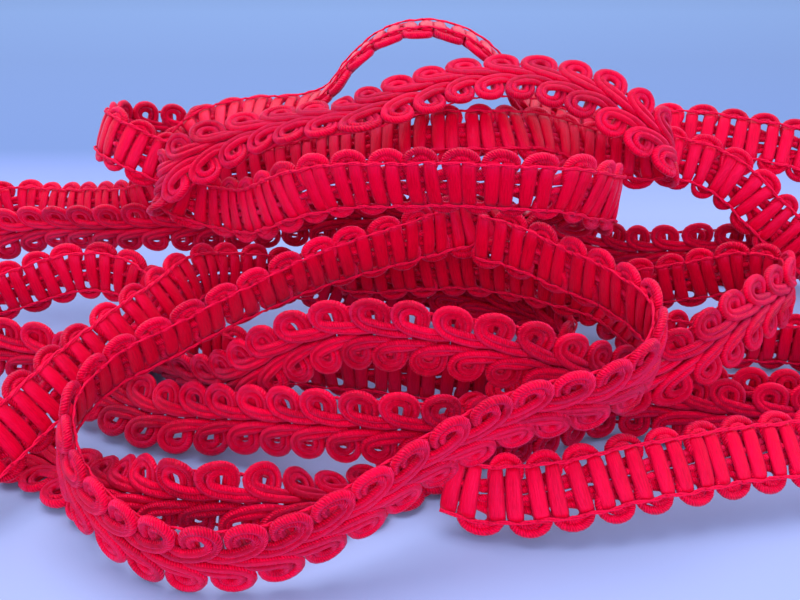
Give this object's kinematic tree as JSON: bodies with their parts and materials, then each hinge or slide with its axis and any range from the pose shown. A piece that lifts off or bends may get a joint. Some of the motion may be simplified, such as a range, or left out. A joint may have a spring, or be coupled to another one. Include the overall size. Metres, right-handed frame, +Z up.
{
  "type": "heap of gimp braid trim",
  "caption": "Loose heap of one length of flat scroll gimp braid, its springy loops standing on edge and leaning on each other",
  "frame": {"origin": "middle of the heap's footprint, on the surface that it rests on", "axes": "+Z up, +X to the viewer's right along the heap, +Y away from the viewer"},
  "size_m": [0.2034, 0.1191, 0.0633],
  "materials": {
    "braid": "satin wrapped cord"
  },
  "bodies": {
    "root": {"braid": "braid"}
  },
  "joints": []
}
